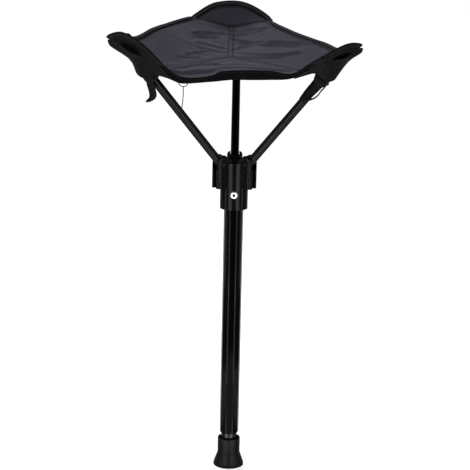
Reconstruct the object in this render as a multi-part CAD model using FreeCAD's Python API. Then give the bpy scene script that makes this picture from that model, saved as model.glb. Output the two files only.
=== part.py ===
"""Collapsible one-legged stool: a telescopic leg with a rubber foot, a clevis hub,
three folding arms and a three-cornered sling seat. Millimetres, +Z up along the leg,
origin at the middle of the foot's flat underside. The front of the seat faces -Y.
"""
import FreeCAD
import Part
import math
import os

V = FreeCAD.Vector

# Inner tube of the leg
INNER_TUBE_R = 11.5
INNER_TUBE_WALL = 1.4

# Rubber foot
FOOT_BASE_R = 22.1
FOOT_BASE_BAND = 3.0
FOOT_FLARE_HEIGHT = 16.0
FOOT_WALL = 4.9
FOOT_HEIGHT = 42.0
FOOT_FLOOR = 6.0
FOOT_MOUTH_WALL = 1.9
FOOT_MOUTH_DEPTH = 6.5
FOOT_LIP_FILLET = 0.8
WASHER_T = 2.0

# Outer tube of the leg, with ridges between shallow flutes
NECK_SHOWN = 8.4
OUTER_TUBE_SHOWN = 336.6
OUTER_TUBE_WALL = 1.7
BUSH_WALL = 0.8
BUSH_LENGTH = 30.0
FLUTES = 9
FLUTE_DEPTH = 0.75
RIDGE_HALF_ANGLE = 2.4
TUBE_END_CHAMFER = 0.9

# Twist lock
PLUG_DEPTH = 20.0
PLUG_HEAD_T = 3.0
CAM_SCREW_SHANK_R = 3.0
CAM_ROOT_R = 5.6
CAM_TIP_R = 7.4
CAM_LENGTH = 28.0
CAM_DISC_T = 2.5
EXPANDER_SPLIT = 2.5
DISC_GAP = 1.2

# Hub
COLLAR_WALL = 5.8
COLLAR_HEIGHT = 31.0
HUB_HEIGHT = 67.7
CORE_TOP_EDGE = 0.8
CORE_TOP_T = 18.7
EAR_T = 4.7
EAR_R = 9.2
EAR_RISE = 4.0
LOBE_EDGE_FILLET = 4.4
LOBE_GROOVE_WIDTH = 7.0
SCREW_RISE = 22.0
SCREW_SHANK_R = 2.5
SCREW_HEAD_R = 5.2
SCREW_HEAD_H = 2.6
SCREW_SOCKET_R = 1.6
SCREW_SOCKET_DEPTH = 1.8
LEG_PLUG_LENGTH = 40.0
PIN_R = 2.5
PIN_RECESS = 1.0
PIVOT_OUTSET = 2.7
PIVOT_DROP = 2.7

# Arms, open
ARM_AZIMUTHS = {"left": 210.0, "right": 330.0, "back": 90.0}
ARM_TILT = 40.8
ARM_TUBE_R = 6.0
ARM_TUBE_WALL = 1.0
ARM_TUBE_START = 12.0
ARM_TUBE_LENGTH = 202.0
EYE_R = 6.9
SPIGOT_LENGTH = 22.0
CAP_WALL = 1.0
CAP_GRIP = 14.0
CAP_TOP_T = 5.0
CAP_DOME_FILLET = 2.6

# Clearances
RUNNING_CLEARANCE = 0.1
PIN_RUNNING_CLEARANCE = 0.05
PRESS_CLEARANCE = 0.02
STOP_CLEARANCE = 0.3
SLOT_CLEARANCE = 0.5
SOFT_CLEARANCE = 0.35
SEW_CLEARANCE = 0.2

# Seat cloth and what is sewn to it
SHEET_T = 2.0
BINDING_PROUD = 0.8
MIDDLE_CROWN = 0.05
SEAM_END_INSET = 0.5
HEM_INSET = 41.5
HEM_HALF_WIDTH = 94.0
FLAT_SHARE = 0.76
CENTRE_DISTANCE = 3.0
WING_STATIONS = (-1.0, -0.8, -0.54, -0.27, 0.0, 0.27, 0.54, 0.8, 1.0)
WING_END_SHARE = 0.10
POCKET_WALL = 1.6
POCKET_LENGTH = 54.4
STRAP_WIDTH = 11.0
STRAP_T = 1.8
STRAP_HANG = 35.0
STRAP_LAID = 40.0
RING_R = 6.4
RING_WIRE_R = 0.6
RING_X = -69.4
CORD_R = 0.6
KNOT_R = 1.4

# Places that follow from the sizes above
FOOT_BARREL_R = INNER_TUBE_R + FOOT_WALL
FOOT_FLARE_TOP_Z = FOOT_BASE_BAND + FOOT_FLARE_HEIGHT
OUTER_TUBE_BORE_R = INNER_TUBE_R + BUSH_WALL
OUTER_TUBE_R = OUTER_TUBE_BORE_R + OUTER_TUBE_WALL
OUTER_TUBE_BOTTOM_Z = FOOT_HEIGHT + NECK_SHOWN
COLLAR_R = OUTER_TUBE_R + COLLAR_WALL
COLLAR_BOTTOM_Z = OUTER_TUBE_BOTTOM_Z + OUTER_TUBE_SHOWN
CORE_TOP_Z = COLLAR_BOTTOM_Z + HUB_HEIGHT
SOCKET_TOP_Z = CORE_TOP_Z - CORE_TOP_T
LOBE_BOTTOM_Z = COLLAR_BOTTOM_Z + COLLAR_HEIGHT
SCREW_Z = COLLAR_BOTTOM_Z + SCREW_RISE
PIVOT_R = COLLAR_R + PIVOT_OUTSET
PIVOT_Z = CORE_TOP_Z - PIVOT_DROP
SLOT_WIDTH = 2 * ARM_TUBE_R + 2 * STOP_CLEARANCE
SLOT_INNER_R = PIVOT_R - EYE_R - SLOT_CLEARANCE
SLOT_FLOOR_Z = PIVOT_Z - EYE_R - SLOT_CLEARANCE
LOBE_WIDTH = SLOT_WIDTH + 2 * EAR_T
EAR_TOP_Z = PIVOT_Z + EAR_RISE + EAR_R
OUTER_TUBE_TOP_Z = SOCKET_TOP_Z - STOP_CLEARANCE
LEG_PLUG_TOP_Z = OUTER_TUBE_TOP_Z - PRESS_CLEARANCE
LEG_PLUG_BOTTOM_Z = LEG_PLUG_TOP_Z - LEG_PLUG_LENGTH
LOCK_TOP_Z = LEG_PLUG_BOTTOM_Z - STOP_CLEARANCE
CAM_TOP_Z = LOCK_TOP_Z - CAM_DISC_T
PLUG_TOP_Z = CAM_TOP_Z - CAM_LENGTH
INNER_TUBE_TOP_Z = PLUG_TOP_Z - PLUG_HEAD_T
INNER_TUBE_BOTTOM_Z = FOOT_FLOOR + WASHER_T
INNER_BORE_R = INNER_TUBE_R - INNER_TUBE_WALL
ARM_TUBE_END = ARM_TUBE_START + ARM_TUBE_LENGTH
CAP_R = ARM_TUBE_R + CAP_WALL
CAP_TOP = ARM_TUBE_END + CAP_TOP_T
POCKET_BORE_R = CAP_R + SOFT_CLEARANCE
POCKET_R = POCKET_BORE_R + POCKET_WALL
POCKET_CLOSED = CAP_TOP + SOFT_CLEARANCE
POCKET_TOP = POCKET_CLOSED + POCKET_WALL
POCKET_MOUTH = POCKET_CLOSED - POCKET_LENGTH


def beside_arm(along, aside):
    """Radius and height of a point along an open arm and aside from it, outward."""
    tilt = math.radians(ARM_TILT)
    radius = PIVOT_R + along * math.sin(tilt) + aside * math.cos(tilt)
    return radius, PIVOT_Z + along * math.cos(tilt) - aside * math.sin(tilt)


# The seat hangs from the upper corner of the pockets' closed ends.
POCKET_CORNER_R, SEAT_LEVEL = beside_arm(POCKET_TOP, -POCKET_R)
SEAM_END_R = POCKET_CORNER_R - SEAM_END_INSET
SEAM_END_DISTANCE = SEAM_END_R / 2
HEM_DISTANCE = SEAM_END_R - HEM_INSET
ROW_DISTANCES = (
    CENTRE_DISTANCE,
    SEAM_END_DISTANCE / 3,
    SEAM_END_DISTANCE * 2 / 3,
    SEAM_END_DISTANCE,
    (SEAM_END_DISTANCE + HEM_DISTANCE) / 2,
    HEM_DISTANCE,
)

# Heights of the seat's top face from the seat's level, one row for each distance
# from the middle: at the left seam, the left end of the flat stretch, the middle,
# the right end of the flat stretch and the right seam.
FRONT_ROWS = (
    (-25.0, -25.0, -25.0, -25.0, -25.0),
    (-30.5, -29.0, -28.0, -29.0, -30.5),
    (-34.0, -32.0, -30.0, -32.0, -34.0),
    (2.4, -28.0, -32.0, -29.0, 2.4),
    (-13.5, -31.0, -33.0, -29.0, -12.3),
    (-27.5, -36.5, -34.5, -31.0, -25.0),
)
LEFT_ROWS = (
    (-25.0, -25.0, -25.0, -25.0, -25.0),
    (-19.0, -21.0, -23.0, -27.0, -30.5),
    (-9.0, -12.0, -16.0, -25.0, -34.0),
    (2.4, -1.0, -6.0, -10.0, 2.4),
    (11.2, 9.0, 6.0, -1.0, 1.6),
    (21.0, 20.0, 17.0, 8.0, 3.0),
)
RIGHT_ROWS = (
    (-25.0, -25.0, -25.0, -25.0, -25.0),
    (-30.5, -28.0, -24.0, -22.0, -19.0),
    (-34.0, -27.0, -19.0, -14.0, -9.0),
    (2.4, -15.0, -12.0, -5.0, 2.4),
    (-4.0, -9.0, -4.0, 4.0, 8.7),
    (-8.0, -3.0, 4.0, 12.0, 16.0),
)

# Each side of the seat: its turn about the leg, its rows, and the width and height
# of its folded binding, which the front wears upright and the other sides flat.
SIDES = {
    "front": (0.0, FRONT_ROWS, 4.0, 10.0),
    "left": (-120.0, LEFT_ROWS, 6.5, 4.0),
    "right": (120.0, RIGHT_ROWS, 6.5, 4.0),
}

# Each corner wing: how far outward and upward its bend and its tip lie from its root,
# and how far the root rises from the arm's line to each end of its width.
WINGS = {
    "left": ((17.0, 13.0), (35.0, 6.0), (3.0, -27.5)),
    "right": ((14.0, 5.5), (31.0, 1.0), (-25.0, -8.0)),
    "back": ((7.0, 20.0), (13.0, 38.0), (16.0, 21.0)),
}

# Route of the short cord that hangs from the ring, from the ring's lowest point
CORD_ROUTE = (
    (0.0, 0.0, 0.0),
    (0.1, -0.4, -11.0),
    (-0.9, -0.2, -22.5),
    (-2.4, 0.3, -33.5),
)


def cylinder(radius, z_low, z_high):
    """Upright cylinder on the leg's axis."""
    return Part.makeCylinder(radius, z_high - z_low, V(0, 0, z_low))


def tube(outer_radius, inner_radius, z_low, z_high):
    """Upright tube on the leg's axis."""
    return cylinder(outer_radius, z_low, z_high).cut(cylinder(inner_radius, z_low, z_high))


def turned(points):
    """Solid of revolution about Z from a closed outline of (radius, z) points."""
    corners = [V(r, 0, z) for r, z in points]
    outline = Part.Face(Part.makePolygon(corners + corners[:1]))
    return outline.revolve(V(0, 0, 0), V(0, 0, 1), 360)


def circle_edges(shape, radius, z):
    """Edges of the shape that are circles of this radius at this height."""
    found = []
    for edge in shape.Edges:
        curve = edge.Curve
        if not isinstance(curve, Part.Circle):
            continue
        if abs(curve.Radius - radius) < 1e-4 and abs(curve.Center.z - z) < 1e-4:
            found.append(edge)
    return found


def turn_about_leg(shape, azimuth):
    """Turn a shape made at azimuth 0, or facing -Y, about the leg."""
    shape.rotate(V(0, 0, 0), V(0, 0, 1), azimuth)
    return shape


def place_on_arm(shape, azimuth):
    """Move a shape from the arm's own frame, pivot at 0 and tube along +Z, to its place."""
    shape.rotate(V(0, 0, 0), V(0, 1, 0), ARM_TILT)
    shape.translate(V(PIVOT_R, 0, PIVOT_Z))
    return turn_about_leg(shape, azimuth)


# Rubber foot and the lower leg

def rubber_foot():
    bore_r = INNER_TUBE_R + PRESS_CLEARANCE
    mouth_r = FOOT_BARREL_R - FOOT_MOUTH_WALL
    mouth_z = FOOT_HEIGHT - FOOT_MOUTH_DEPTH
    foot = turned([
        (0, 0),
        (FOOT_BASE_R, 0),
        (FOOT_BASE_R, FOOT_BASE_BAND),
        (FOOT_BARREL_R, FOOT_FLARE_TOP_Z),
        (FOOT_BARREL_R, FOOT_HEIGHT),
        (mouth_r, FOOT_HEIGHT),
        (mouth_r, mouth_z),
        (bore_r, mouth_z),
        (bore_r, FOOT_FLOOR),
        (0, FOOT_FLOOR),
    ])
    lip = circle_edges(foot, FOOT_BARREL_R, FOOT_HEIGHT) + circle_edges(foot, mouth_r, FOOT_HEIGHT)
    return foot.makeFillet(FOOT_LIP_FILLET, lip)


def foot_washer():
    return cylinder(INNER_TUBE_R, FOOT_FLOOR, FOOT_FLOOR + WASHER_T)


def inner_tube():
    return tube(INNER_TUBE_R, INNER_BORE_R, INNER_TUBE_BOTTOM_Z, INNER_TUBE_TOP_Z)


def tube_plug():
    body = cylinder(INNER_BORE_R - PRESS_CLEARANCE, INNER_TUBE_TOP_Z - PLUG_DEPTH, INNER_TUBE_TOP_Z)
    head = cylinder(INNER_TUBE_R, INNER_TUBE_TOP_Z, PLUG_TOP_Z)
    hole = cylinder(CAM_SCREW_SHANK_R, INNER_TUBE_TOP_Z - PLUG_DEPTH, PLUG_TOP_Z)
    return body.fuse(head).removeSplitter().cut(hole)


def cam_screw():
    shank = cylinder(CAM_SCREW_SHANK_R - PRESS_CLEARANCE, INNER_TUBE_TOP_Z - PLUG_DEPTH, PLUG_TOP_Z)
    cam = Part.makeCone(CAM_ROOT_R, CAM_TIP_R, CAM_LENGTH, V(0, 0, PLUG_TOP_Z))
    disc = cylinder(OUTER_TUBE_BORE_R - DISC_GAP, CAM_TOP_Z, LOCK_TOP_Z)
    return shank.fuse([cam, disc]).removeSplitter()


def lock_expander():
    low = PLUG_TOP_Z + STOP_CLEARANCE
    high = CAM_TOP_Z - STOP_CLEARANCE
    sleeve = cylinder(OUTER_TUBE_BORE_R - RUNNING_CLEARANCE, low, high)
    bore = Part.makeCone(
        CAM_ROOT_R + STOP_CLEARANCE, CAM_TIP_R + STOP_CLEARANCE, CAM_LENGTH, V(0, 0, PLUG_TOP_Z)
    )
    split = Part.makeBox(OUTER_TUBE_R, EXPANDER_SPLIT, CAM_LENGTH, V(0, -EXPANDER_SPLIT / 2, PLUG_TOP_Z))
    return sleeve.cut(bore).cut(split)


# Outer tube, its bush and the plug in its top

def on_circle(radius, degrees, z):
    turn = math.radians(degrees)
    return V(radius * math.cos(turn), radius * math.sin(turn), z)


def outer_tube():
    z = OUTER_TUBE_BOTTOM_Z
    pitch = 360.0 / FLUTES
    edges = []
    for k in range(FLUTES):
        ridge = 270.0 + pitch / 2 + k * pitch
        start = on_circle(OUTER_TUBE_R, ridge - RIDGE_HALF_ANGLE, z)
        crest = on_circle(OUTER_TUBE_R, ridge, z)
        end = on_circle(OUTER_TUBE_R, ridge + RIDGE_HALF_ANGLE, z)
        hollow = on_circle(OUTER_TUBE_R - FLUTE_DEPTH, ridge + pitch / 2, z)
        following = on_circle(OUTER_TUBE_R, ridge + pitch - RIDGE_HALF_ANGLE, z)
        edges.append(Part.Arc(start, crest, end).toShape())
        edges.append(Part.Arc(end, hollow, following).toShape())
    profile = Part.Face(Part.Wire(edges))
    bar = profile.extrude(V(0, 0, OUTER_TUBE_TOP_Z - z))
    envelope = turned([
        (0, z),
        (OUTER_TUBE_R - TUBE_END_CHAMFER, z),
        (OUTER_TUBE_R + TUBE_END_CHAMFER, z + 2 * TUBE_END_CHAMFER),
        (OUTER_TUBE_R + TUBE_END_CHAMFER, OUTER_TUBE_TOP_Z),
        (0, OUTER_TUBE_TOP_Z),
    ])
    body = bar.common(envelope).cut(cylinder(OUTER_TUBE_BORE_R, z, OUTER_TUBE_TOP_Z))
    return body.cut(screw_hole(SCREW_SHANK_R + PRESS_CLEARANCE))


def guide_bush():
    outer = OUTER_TUBE_BORE_R - PRESS_CLEARANCE
    bore = INNER_TUBE_R + RUNNING_CLEARANCE
    return tube(outer, bore, OUTER_TUBE_BOTTOM_Z, OUTER_TUBE_BOTTOM_Z + BUSH_LENGTH)


def leg_plug():
    bar = cylinder(OUTER_TUBE_BORE_R - PRESS_CLEARANCE, LEG_PLUG_BOTTOM_Z, LEG_PLUG_TOP_Z)
    return bar.cut(screw_hole(SCREW_SHANK_R + PRESS_CLEARANCE))


# Hub with three clevises, its screw and the pivot pins

def screw_hole(radius):
    """Bar along -Y, from the leg's axis out through the front of the collar."""
    return Part.makeCylinder(radius, COLLAR_R + SCREW_HEAD_H, V(0, 0, SCREW_Z), V(0, -1, 0))


def hub_lobe():
    """One clevis lobe at azimuth 0, solid, with a round top and rounded outer corners."""
    outer_r = PIVOT_R + EAR_R
    start = V(0, -LOBE_WIDTH / 2, LOBE_BOTTOM_Z)
    block = Part.makeBox(outer_r, LOBE_WIDTH, EAR_TOP_Z - EAR_R - LOBE_BOTTOM_Z, start)
    ear = Part.makeCylinder(EAR_R, LOBE_WIDTH, V(PIVOT_R, -LOBE_WIDTH / 2, EAR_TOP_Z - EAR_R), V(0, 1, 0))
    lobe = block.fuse(ear).removeSplitter()
    corners = []
    for edge in lobe.Edges:
        box = edge.BoundBox
        outer = box.XMin > outer_r - 1e-3
        round_top = box.ZMax > EAR_TOP_Z - 1e-3
        if (outer or round_top) and box.ZLength > LOBE_EDGE_FILLET:
            corners.append(edge)
    return lobe.makeFillet(LOBE_EDGE_FILLET, corners)


def hub_slot():
    """Space for an arm's eye and tube between the two ears, and the groove below, at azimuth 0."""
    reach = PIVOT_R + EAR_R + 1
    upper = Part.makeBox(
        reach, SLOT_WIDTH, EAR_TOP_Z + 1 - SLOT_FLOOR_Z, V(SLOT_INNER_R, -SLOT_WIDTH / 2, SLOT_FLOOR_Z)
    )
    lower = Part.makeBox(
        reach,
        LOBE_GROOVE_WIDTH,
        SLOT_FLOOR_Z - LOBE_BOTTOM_Z + 2,
        V(COLLAR_R, -LOBE_GROOVE_WIDTH / 2, LOBE_BOTTOM_Z - 1),
    )
    return upper.fuse(lower)


def hub():
    core = cylinder(COLLAR_R, COLLAR_BOTTOM_Z, CORE_TOP_Z)
    core = core.makeChamfer(CORE_TOP_EDGE, circle_edges(core, COLLAR_R, CORE_TOP_Z))
    lobes = [turn_about_leg(hub_lobe(), azimuth) for azimuth in ARM_AZIMUTHS.values()]
    body = core.fuse(lobes).removeSplitter()
    for azimuth in ARM_AZIMUTHS.values():
        body = body.cut(turn_about_leg(hub_slot(), azimuth))
        body = body.cut(turn_about_leg(pin_bar(PIN_R + PRESS_CLEARANCE), azimuth))
    body = body.cut(cylinder(OUTER_TUBE_R + PRESS_CLEARANCE, COLLAR_BOTTOM_Z, SOCKET_TOP_Z))
    return body.cut(screw_hole(SCREW_SHANK_R + PRESS_CLEARANCE))


def hub_screw():
    shank_start = OUTER_TUBE_BORE_R / 2
    shank = Part.makeCylinder(
        SCREW_SHANK_R, COLLAR_R - shank_start, V(0, -shank_start, SCREW_Z), V(0, -1, 0)
    )
    ball_r = (SCREW_HEAD_R ** 2 + SCREW_HEAD_H ** 2) / (2 * SCREW_HEAD_H)
    ball = Part.makeSphere(ball_r, V(0, -COLLAR_R - SCREW_HEAD_H + ball_r, SCREW_Z))
    disc = Part.makeCylinder(
        SCREW_HEAD_R, SCREW_HEAD_H + 1, V(0, -COLLAR_R, SCREW_Z), V(0, -1, 0)
    )
    head = ball.common(disc)
    socket = Part.makeCylinder(
        SCREW_SOCKET_R,
        SCREW_SOCKET_DEPTH + 1,
        V(0, -COLLAR_R - SCREW_HEAD_H + SCREW_SOCKET_DEPTH, SCREW_Z),
        V(0, -1, 0),
    )
    return shank.fuse(head).removeSplitter().cut(socket)


def pin_bar(radius, recess=0.0):
    """Pivot pin's bar, across the ears at azimuth 0, this far short of each side."""
    length = LOBE_WIDTH - 2 * recess
    return Part.makeCylinder(radius, length, V(PIVOT_R, -length / 2, PIVOT_Z), V(0, 1, 0))


# Arms, made in the arm's own frame

def arm_knuckle():
    width = SLOT_WIDTH - 2 * STOP_CLEARANCE
    eye = Part.makeCylinder(EYE_R, width, V(0, -width / 2, 0), V(0, 1, 0))
    shoulder = cylinder(ARM_TUBE_R - PRESS_CLEARANCE, 0, ARM_TUBE_START)
    spigot = cylinder(
        ARM_TUBE_R - ARM_TUBE_WALL - PRESS_CLEARANCE, ARM_TUBE_START, ARM_TUBE_START + SPIGOT_LENGTH
    )
    bore = Part.makeCylinder(
        PIN_R + PIN_RUNNING_CLEARANCE, LOBE_WIDTH, V(0, -LOBE_WIDTH / 2, 0), V(0, 1, 0)
    )
    return eye.fuse([shoulder, spigot]).removeSplitter().cut(bore)


def arm_tube():
    return tube(ARM_TUBE_R, ARM_TUBE_R - ARM_TUBE_WALL, ARM_TUBE_START, ARM_TUBE_END)


def arm_cap():
    cap = cylinder(CAP_R, ARM_TUBE_END - CAP_GRIP, CAP_TOP)
    cap = cap.makeFillet(CAP_DOME_FILLET, circle_edges(cap, CAP_R, CAP_TOP))
    bore = cylinder(ARM_TUBE_R + PRESS_CLEARANCE, ARM_TUBE_END - CAP_GRIP, ARM_TUBE_END)
    return cap.cut(bore)


def seat_pocket():
    """Cloth pocket over the arm's end, open towards the hub."""
    outer = cylinder(POCKET_R, POCKET_MOUTH, POCKET_TOP)
    return outer.cut(cylinder(POCKET_BORE_R, POCKET_MOUTH, POCKET_CLOSED))


def laid_strap():
    """Strap that lies along the side of the arm, below the pocket."""
    top = POCKET_MOUTH - SEW_CLEARANCE
    side = -(ARM_TUBE_R + SEW_CLEARANCE + STRAP_T)
    return Part.makeBox(STRAP_WIDTH, STRAP_T, STRAP_LAID, V(-STRAP_WIDTH / 2, side, top - STRAP_LAID))


def hanging_strap(azimuth):
    """Strap that hangs free from the outer side of the pocket's mouth."""
    radius, top = beside_arm(POCKET_MOUTH, POCKET_R + SEW_CLEARANCE)
    strap = Part.makeBox(
        STRAP_T, STRAP_WIDTH, STRAP_HANG, V(radius, -STRAP_WIDTH / 2, top - STRAP_HANG)
    )
    return turn_about_leg(strap, azimuth)


# Seat

def half_width(distance):
    """Half the width of a side panel at a distance from the middle."""
    spread = math.tan(math.radians(60))
    if distance <= SEAM_END_DISTANCE:
        return distance * spread - SEW_CLEARANCE
    share = (distance - SEAM_END_DISTANCE) / (HEM_DISTANCE - SEAM_END_DISTANCE)
    widest = SEAM_END_DISTANCE * spread
    return widest + share * (HEM_HALF_WIDTH - widest) - SEW_CLEARANCE


def sheet_edges(points):
    """Line, arc and line through five points of one face of the cloth."""
    a, p, m, q, b = points
    return [
        Part.LineSegment(a, p).toShape(),
        Part.Arc(p, m, q).toShape(),
        Part.LineSegment(q, b).toShape(),
    ]


def across(half):
    """The five places across a panel where a row gives the heights."""
    flat = half * FLAT_SHARE
    return (-half, -flat, 0, flat, half)


def panel_section(distance, heights):
    """Closed wire across a side panel: line, arc and line above and again below."""
    places = across(half_width(distance))
    top = [V(x, -distance, SEAT_LEVEL + z) for x, z in zip(places, heights)]
    top[2].z += MIDDLE_CROWN
    under = [point - V(0, 0, SHEET_T) for point in reversed(top)]
    edges = sheet_edges(top)
    edges.append(Part.LineSegment(top[-1], under[0]).toShape())
    edges += sheet_edges(under)
    edges.append(Part.LineSegment(under[-1], top[0]).toShape())
    return Part.Wire(edges)


def seat_panel(side):
    turn, rows = SIDES[side][:2]
    sections = [panel_section(distance, row) for distance, row in zip(ROW_DISTANCES, rows)]
    return turn_about_leg(Part.makeLoft(sections, True, True), turn)


def hem_section(x, rise, width, height):
    """Closed rectangle across the folded binding of a hem, its top a little above the cloth."""
    near = -HEM_DISTANCE - SEW_CLEARANCE
    far = near - width
    high = SEAT_LEVEL + rise + BINDING_PROUD
    low = high - height
    corners = [V(x, near, low), V(x, far, low), V(x, far, high), V(x, near, high)]
    return Part.makePolygon(corners + corners[:1])


def seat_hem(side):
    turn, rows, width, height = SIDES[side]
    places = across(half_width(HEM_DISTANCE))
    sections = [hem_section(x, rise, width, height) for x, rise in zip(places, rows[-1])]
    return turn_about_leg(Part.makeLoft(sections, True, True), turn)


def wing_ends():
    """Distance along the arm's line, and aside from it, of a wing's two lower corners."""
    along = math.radians(30)
    outward = HEM_HALF_WIDTH * math.cos(along) + HEM_DISTANCE * math.sin(along)
    aside = HEM_DISTANCE * math.cos(along) - HEM_HALF_WIDTH * math.sin(along)
    return outward, aside


def wing_section(name, station):
    """Closed wire of a wing in the upright plane at one station of its width."""
    bend, tip, end_rises = WINGS[name]
    reach = WING_END_SHARE + (1 - WING_END_SHARE) * (1 - station * station)
    end_rise = end_rises[0] if station < 0 else end_rises[1]
    end_r, half_width_of_wing = wing_ends()
    root_r = SEAM_END_R + SEW_CLEARANCE - abs(station) * (SEAM_END_R - end_r)
    root_z = SEAT_LEVEL + SHEET_T + SOFT_CLEARANCE + end_rise * abs(station)
    s = station * half_width_of_wing
    top = [V(root_r, s, root_z)]
    for outward, upward in (bend, tip):
        top.append(V(root_r + outward * reach, s, root_z + upward * reach))
    chord = (top[2] - top[0]).normalize()
    under = [point + V(chord.z, 0, -chord.x) * SHEET_T for point in reversed(top)]
    edges = [
        Part.Arc(*top).toShape(),
        Part.LineSegment(top[-1], under[0]).toShape(),
        Part.Arc(*under).toShape(),
        Part.LineSegment(under[-1], top[0]).toShape(),
    ]
    return Part.Wire(edges)


def seat_wing(name):
    sections = [wing_section(name, station) for station in WING_STATIONS]
    return turn_about_leg(Part.makeLoft(sections, True, True), ARM_AZIMUTHS[name])


# Ring under the front hem, with its cord

FRONT_HEM_TURN, FRONT_HEM_ROWS, FRONT_HEM_WIDTH, FRONT_HEM_HEIGHT = SIDES["front"]
RING_Y = -HEM_DISTANCE - SEW_CLEARANCE - FRONT_HEM_WIDTH / 2
RING_Z = SEAT_LEVEL + FRONT_HEM_ROWS[-1][1] + BINDING_PROUD - FRONT_HEM_HEIGHT - SEW_CLEARANCE


def seat_ring():
    """Half ring of wire whose ends meet the underside of the front binding."""
    ring = Part.makeTorus(RING_R, RING_WIRE_R, V(RING_X, RING_Y, RING_Z), V(0, 1, 0))
    reach = RING_R + 2 * RING_WIRE_R
    lower = Part.makeBox(2 * reach, 2 * reach, reach, V(RING_X - reach, RING_Y - reach, RING_Z - reach))
    return ring.common(lower)


def cord_points():
    start = V(RING_X, RING_Y, RING_Z - RING_R - RING_WIRE_R - PRESS_CLEARANCE)
    return [start + V(*step) for step in CORD_ROUTE]


def rounded_route(points):
    """Straight runs joined by tangent arcs, each as large as its runs allow."""
    edges = []
    start = points[0]
    for before, corner, after in zip(points, points[1:], points[2:]):
        back = (before - corner).normalize()
        ahead = (after - corner).normalize()
        half_turn = (math.pi - back.getAngle(ahead)) / 2
        setback = 0.45 * min((before - corner).Length, (after - corner).Length)
        radius = setback / math.tan(half_turn)
        print("cord bend radius", round(radius, 1))
        enter = corner + back * setback
        leave = corner + ahead * setback
        bisector = (back + ahead).normalize()
        middle = corner + bisector * (radius / math.cos(half_turn) - radius)
        edges.append(Part.LineSegment(start, enter).toShape())
        edges.append(Part.Arc(enter, middle, leave).toShape())
        start = leave
    edges.append(Part.LineSegment(start, points[-1]).toShape())
    return Part.Wire(edges)


def keeper_cord():
    points = cord_points()
    route = rounded_route(points)
    direction = points[1] - points[0]
    section = Part.Wire(Part.Circle(points[0], direction, CORD_R).toShape())
    cord = route.makePipeShell([section], True, False)
    print("cord length", round(route.Length, 2), "volume", round(cord.Volume, 2),
          "section times length", round(math.pi * CORD_R ** 2 * route.Length, 2))
    return cord


def cord_knot():
    end = cord_points()[-1]
    before = cord_points()[-2]
    along = (end - before).normalize()
    return Part.makeSphere(KNOT_R, end + along * (KNOT_R + PRESS_CLEARANCE))


def build_nodes():
    nodes = {
        "rubber_foot": rubber_foot(),
        "foot_washer": foot_washer(),
        "inner_tube": inner_tube(),
        "tube_plug": tube_plug(),
        "cam_screw": cam_screw(),
        "lock_expander": lock_expander(),
        "outer_tube": outer_tube(),
        "guide_bush": guide_bush(),
        "leg_plug": leg_plug(),
        "hub": hub(),
        "hub_screw": hub_screw(),
        "seat_ring": seat_ring(),
        "keeper_cord": keeper_cord(),
        "cord_knot": cord_knot(),
    }
    for name, azimuth in ARM_AZIMUTHS.items():
        nodes["pivot_pin_" + name] = turn_about_leg(pin_bar(PIN_R, PIN_RECESS), azimuth)
        nodes["arm_knuckle_" + name] = place_on_arm(arm_knuckle(), azimuth)
        nodes["arm_tube_" + name] = place_on_arm(arm_tube(), azimuth)
        nodes["arm_cap_" + name] = place_on_arm(arm_cap(), azimuth)
        nodes["seat_pocket_" + name] = place_on_arm(seat_pocket(), azimuth)
        nodes["seat_wing_" + name] = seat_wing(name)
    nodes["strap_left"] = hanging_strap(ARM_AZIMUTHS["left"])
    for name in ("right", "back"):
        nodes["strap_" + name] = place_on_arm(laid_strap(), ARM_AZIMUTHS[name])
    for side in SIDES:
        nodes["seat_panel_" + side] = seat_panel(side)
        nodes["seat_hem_" + side] = seat_hem(side)
    return nodes


def main():
    os.makedirs("parts", exist_ok=True)
    for name, shape in build_nodes().items():
        if not shape.isValid():
            print("not valid:", name)
        print(name, len(shape.Solids), round(shape.Volume, 1))
        shape.exportStep("parts/" + name + ".step")


main()
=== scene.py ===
"""Look of a folding one-legged stool, leg down and seat open."""
import math

import bpy
import numpy as np
from mathutils import Matrix, Vector, noise


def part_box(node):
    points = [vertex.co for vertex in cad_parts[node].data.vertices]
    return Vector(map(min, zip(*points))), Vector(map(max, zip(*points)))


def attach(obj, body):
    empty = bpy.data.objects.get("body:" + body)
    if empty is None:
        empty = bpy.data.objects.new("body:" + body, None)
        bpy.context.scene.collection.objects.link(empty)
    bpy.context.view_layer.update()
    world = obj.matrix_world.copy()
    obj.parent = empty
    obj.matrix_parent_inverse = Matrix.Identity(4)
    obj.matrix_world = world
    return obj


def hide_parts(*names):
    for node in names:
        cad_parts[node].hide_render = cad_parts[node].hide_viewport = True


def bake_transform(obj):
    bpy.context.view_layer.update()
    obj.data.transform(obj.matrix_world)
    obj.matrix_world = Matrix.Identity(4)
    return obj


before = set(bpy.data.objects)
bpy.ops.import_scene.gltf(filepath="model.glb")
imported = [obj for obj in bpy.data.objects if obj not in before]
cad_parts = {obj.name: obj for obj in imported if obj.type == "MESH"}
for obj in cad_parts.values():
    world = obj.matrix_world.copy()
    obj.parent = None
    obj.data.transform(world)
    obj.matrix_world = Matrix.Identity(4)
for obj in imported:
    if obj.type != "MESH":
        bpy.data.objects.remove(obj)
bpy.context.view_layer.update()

MM = 0.001


# Camera, at the photograph's viewing angle

VIEW_ANGLES = (12.884, 0.105, 1.241)
VIEW_FROM = (-0.00087, -1.96311, 0.79644)
FOCAL_PIXELS = 1408.8
FRAME_PIXELS = 470
SENSOR_WIDTH = 36.0


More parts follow.
